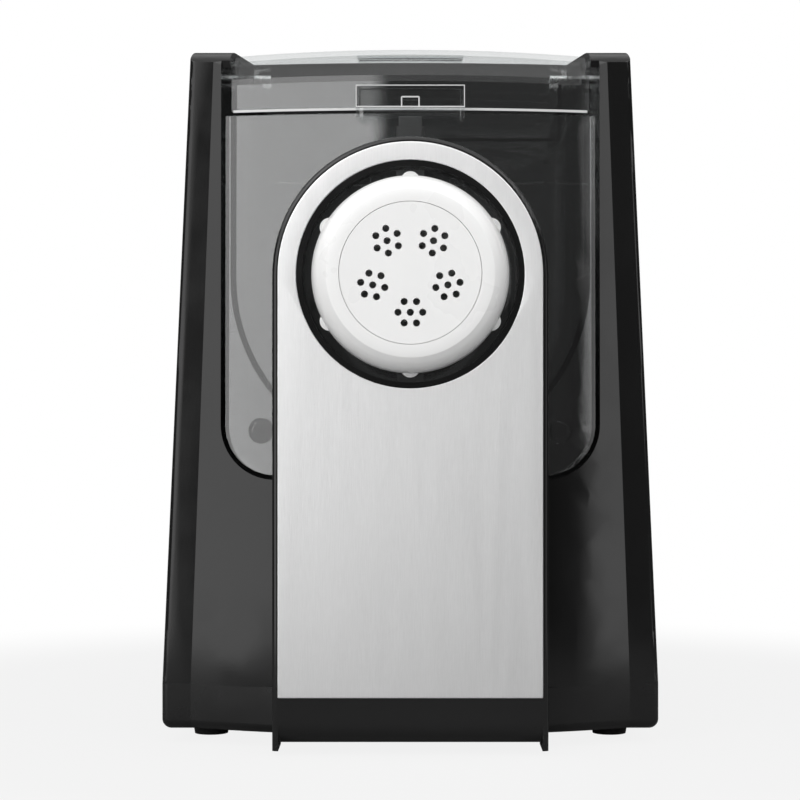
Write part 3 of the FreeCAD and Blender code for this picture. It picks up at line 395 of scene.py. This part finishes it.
def button_marks():
    """Plain raised symbols on the three buttons: a switch ring, three bars and a triangle."""
    tops = {name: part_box(name) for name in ("power_button", "program_button", "start_button")}

    def centre(name):
        low, high = tops[name]
        return Vector(((low.x + high.x) / 2, (low.y + high.y) / 2, high.z - MARK_SINK))

    def flat_bar(work, c, x0, x1, y0, y1):
        bar(work, c + Vector((x0, y0, 0.0)), c + Vector((x1, y1, MARK_H)))

    def power(work):
        c = centre("power_button")
        section = ((RING_INNER, 0.0), (RING_INNER, MARK_H), (RING_OUTER, MARK_H), (RING_OUTER, 0.0))
        rows = []
        for step in range(RING_STEPS + 1):
            a = math.radians(RING_START + RING_SWEEP * step / RING_STEPS)
            points = [c + Vector((r * math.cos(a), r * math.sin(a), h)) for r, h in section]
            rows.append([work.verts.new(point) for point in points])
        sweep_rows(work, rows)
        flat_bar(work, c, -MARK_LINE, MARK_LINE, *SWITCH_BAR)

    def program(work):
        c = centre("program_button")
        for y in (-PROGRAM_PITCH, 0.0, PROGRAM_PITCH):
            flat_bar(work, c, -PROGRAM_BAR, PROGRAM_BAR, y - MARK_LINE, y + MARK_LINE)

    def start(work):
        c = centre("start_button")
        low = [work.verts.new(c + Vector((x, y, 0.0))) for x, y in TRIANGLE]
        high = [work.verts.new(c + Vector((x, y, MARK_H))) for x, y in TRIANGLE]
        work.faces.new(high)
        work.faces.new(list(reversed(low)))
        for k in range(3):
            work.faces.new((low[k], low[(k + 1) % 3], high[(k + 1) % 3], high[k]))

    for name, build in (("power_button", power), ("program_button", program), ("start_button", start)):
        mesh_piece(name + "_mark", build, "white", name)


def lid_details():
    """Small details at the front of the clear lid: catch outline, pivot pins, and frosted strips on the tab
    edges, lip and lower front edge that are painted highlights.
    """
    low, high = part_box("lid")
    face = low.y + TAB_FACE_BACK
    middle = (low.x + high.x) / 2

    def line(work, x0, x1, z0, z1, proud):
        bar(work, (middle + x0, face - proud, z0), (middle + x1, face + LINE_SET_IN, z1))

    def catch(work):
        for x in (-CATCH_HALF, CATCH_HALF):
            line(work, x - CATCH_LINE, x + CATCH_LINE, TAB_SEAT_Z, CATCH_SIDE_Z, CATCH_PROUD)
        line(work, -CATCH_HALF, CATCH_HALF, CATCH_TOP_Z - 2 * CATCH_LINE, CATCH_TOP_Z, CATCH_PROUD)

    # Painted highlights: frosted lines on the lip and on the sides and top of the tab stand for its bright
    # edges
    def tab_edge_highlights(work):
        lip = low.y - LINE_SET_IN
        bar(work, (middle - LIP_HALF, lip, TAB_SEAT_Z - LIP_LINE_H),
            (middle + LIP_HALF, lip + LIP_LINE_H, TAB_SEAT_Z))
        for x in (-TAB_LINE_X, TAB_LINE_X):
            line(work, x - TAB_LINE, x + TAB_LINE, TAB_SIDE_Z, TAB_TOP_Z, TAB_PROUD)
        line(work, -TAB_LINE_X, TAB_LINE_X, TAB_TOP_Z - 2 * TAB_LINE, TAB_TOP_Z, TAB_PROUD)

    def pins(work):
        for x in (low.x, high.x):
            place = Matrix.Translation((x * PIN_SHARE, face + PIN_BACK, PIN_Z))
            bmesh.ops.create_cone(work, cap_ends=True, segments=PIN_SIDES, radius1=PIN_R, radius2=PIN_R,
                                  depth=PIN_L, matrix=place @ Matrix.Rotation(math.pi / 2, 4, "Y"))

    # Painted highlight: a frosted strip along the lower front edge of the clear lid
    def edge_highlight_strip(work):
        rows = []
        for step in range(EDGE_HIGHLIGHT_STEPS + 1):
            x = (2 * step / EDGE_HIGHLIGHT_STEPS - 1) * EDGE_HIGHLIGHT_HALF
            y = LID_BOW_Y - math.sqrt(LID_BOW_R ** 2 - x ** 2)
            z = EDGE_HIGHLIGHT_Z + (y - LID_BOW_Y + LID_BOW_R) * EDGE_HIGHLIGHT_SLOPE
            corners = ((y, z + EDGE_HIGHLIGHT_RISE), (y, z - EDGE_HIGHLIGHT_RISE))
            corners += ((y + EDGE_HIGHLIGHT_DEPTH, z - EDGE_HIGHLIGHT_RISE), (y + EDGE_HIGHLIGHT_DEPTH, z + EDGE_HIGHLIGHT_RISE))
            rows.append([work.verts.new((x, *corner)) for corner in corners])
        sweep_rows(work, rows)

    mesh_piece("lid_catch_outline", catch, "frosted", "lid")
    mesh_piece("lid_tab_painted_highlights", tab_edge_highlights, "frosted", "lid")
    mesh_piece("lid_front_pins", pins, "black_gloss", "lid")
    mesh_piece("lid_edge_painted_highlight", edge_highlight_strip, "frosted", "lid")


dress_cad_nodes()
button_marks()
lid_details()


def straight_view(t):
    """1 for what is seen directly or straight through clear plastic, 0 for all reflected light."""
    path = t.add("ShaderNodeLightPath").outputs
    bounced = t.math("ADD", path["Glossy Depth"], path["Diffuse Depth"])
    through = t.math("SUBTRACT", path["Is Transmission Ray"], bounced, clamp=True)
    return t.math("MAXIMUM", path["Is Camera Ray"], through)


def make_camera():
    data = bpy.data.cameras.new("camera")
    data.lens = LENS
    data.sensor_width = SENSOR_W
    data.shift_x = SHIFT_X
    camera = bpy.data.objects.new("camera", data)
    camera.location = (0.0, CAMERA_Y, CAMERA_Z)
    camera.rotation_euler = (math.radians(90), 0.0, 0.0)
    bpy.context.scene.collection.objects.link(camera)
    bpy.context.scene.camera = camera


def make_floor():
    mesh = bpy.data.meshes.new("floor")
    turns = [2 * math.pi * k / FLOOR_SIDES for k in range(FLOOR_SIDES)]
    rim = [(FLOOR_R * math.cos(a), FLOOR_R * math.sin(a), 0) for a in turns]
    mesh.from_pydata(rim, [], [range(FLOOR_SIDES)])
    floor = bpy.data.objects.new("floor", mesh)
    bpy.context.scene.collection.objects.link(floor)
    material, t = new_material("floor")
    place = t.add("ShaderNodeTexCoord").outputs["Object"]
    distance = t.add("ShaderNodeVectorMath", {0: place}, operation="LENGTH").outputs["Value"]
    pale = t.ramp(distance, FLOOR_PALE_FROM, FLOOR_PALE_TO, FLOOR_PALE, 1.0)
    share = t.math("MULTIPLY", straight_view(t), pale)
    diffuse = t.add("ShaderNodeBsdfDiffuse", {"Color": grey(FLOOR_COLOUR)}).outputs[0]
    white = t.add("ShaderNodeEmission", {"Color": grey(1.0), "Strength": 1.0}).outputs[0]
    finish_shader(t, t.add("ShaderNodeMixShader", {0: share, 1: diffuse, 2: white}).outputs[0])
    mesh.materials.append(material)


def make_studio():
    """The light round the object, as a function of direction."""
    world = bpy.data.worlds.new("studio")
    bpy.context.scene.world = world
    world.use_nodes = True
    t = Tree(world.node_tree)
    direction = t.add("ShaderNodeTexCoord").outputs["Generated"]
    split = t.add("ShaderNodeSeparateXYZ", {0: direction}).outputs
    toward = t.math("MULTIPLY", split["Y"], -1.0)
    azimuth = t.math("DEGREES", t.math("ARCTAN2", split["X"], toward))
    height = t.math("DEGREES", t.math("ARCSINE", split["Z"]))

    def band(value, low, high, soft):
        rise = t.ramp(value, low - soft, low + soft)
        fall = t.ramp(value, high - soft, high + soft, 1.0, 0.0)
        return t.math("MULTIPLY", rise, fall)

    tall = band(height, BOX_LOW, BOX_HIGH, BOX_END_SOFT)
    left = t.math("MULTIPLY", band(azimuth, *LEFT_BOX, BOX_SOFT), tall)
    right = t.math("MULTIPLY", band(azimuth, *RIGHT_BOX, BOX_SOFT), tall)
    below = t.ramp(height, REAR_SHADE_TO, REAR_SHADE_TO + TOP_SOFT, REAR_SHADE, 0.0)
    shade = t.math("MULTIPLY", t.ramp(split["Y"], REAR_FROM, REAR_FULL), below)
    kept = t.math("SUBTRACT", 1.0, shade)
    top = t.math("MULTIPLY", t.ramp(height, TOP_FROM, TOP_FROM + TOP_SOFT), kept)
    total = t.math("ADD", t.math("MULTIPLY", left, LEFT_LEVEL), FILL_LEVEL)
    total = t.math("ADD", total, t.math("MULTIPLY", right, RIGHT_LEVEL))
    total = t.math("ADD", total, t.math("MULTIPLY", top, TOP_LEVEL))
    lit = t.add("ShaderNodeBackground", {"Color": grey(1.0), "Strength": total}).outputs[0]
    white = t.add("ShaderNodeBackground", {"Color": grey(1.0), "Strength": 1.0}).outputs[0]
    mix = t.add("ShaderNodeMixShader", {0: straight_view(t), 1: lit, 2: white}).outputs[0]
    t.add("ShaderNodeOutputWorld", {"Surface": mix})


make_camera()
make_floor()
make_studio()
bpy.context.scene.view_settings.view_transform = "Standard"
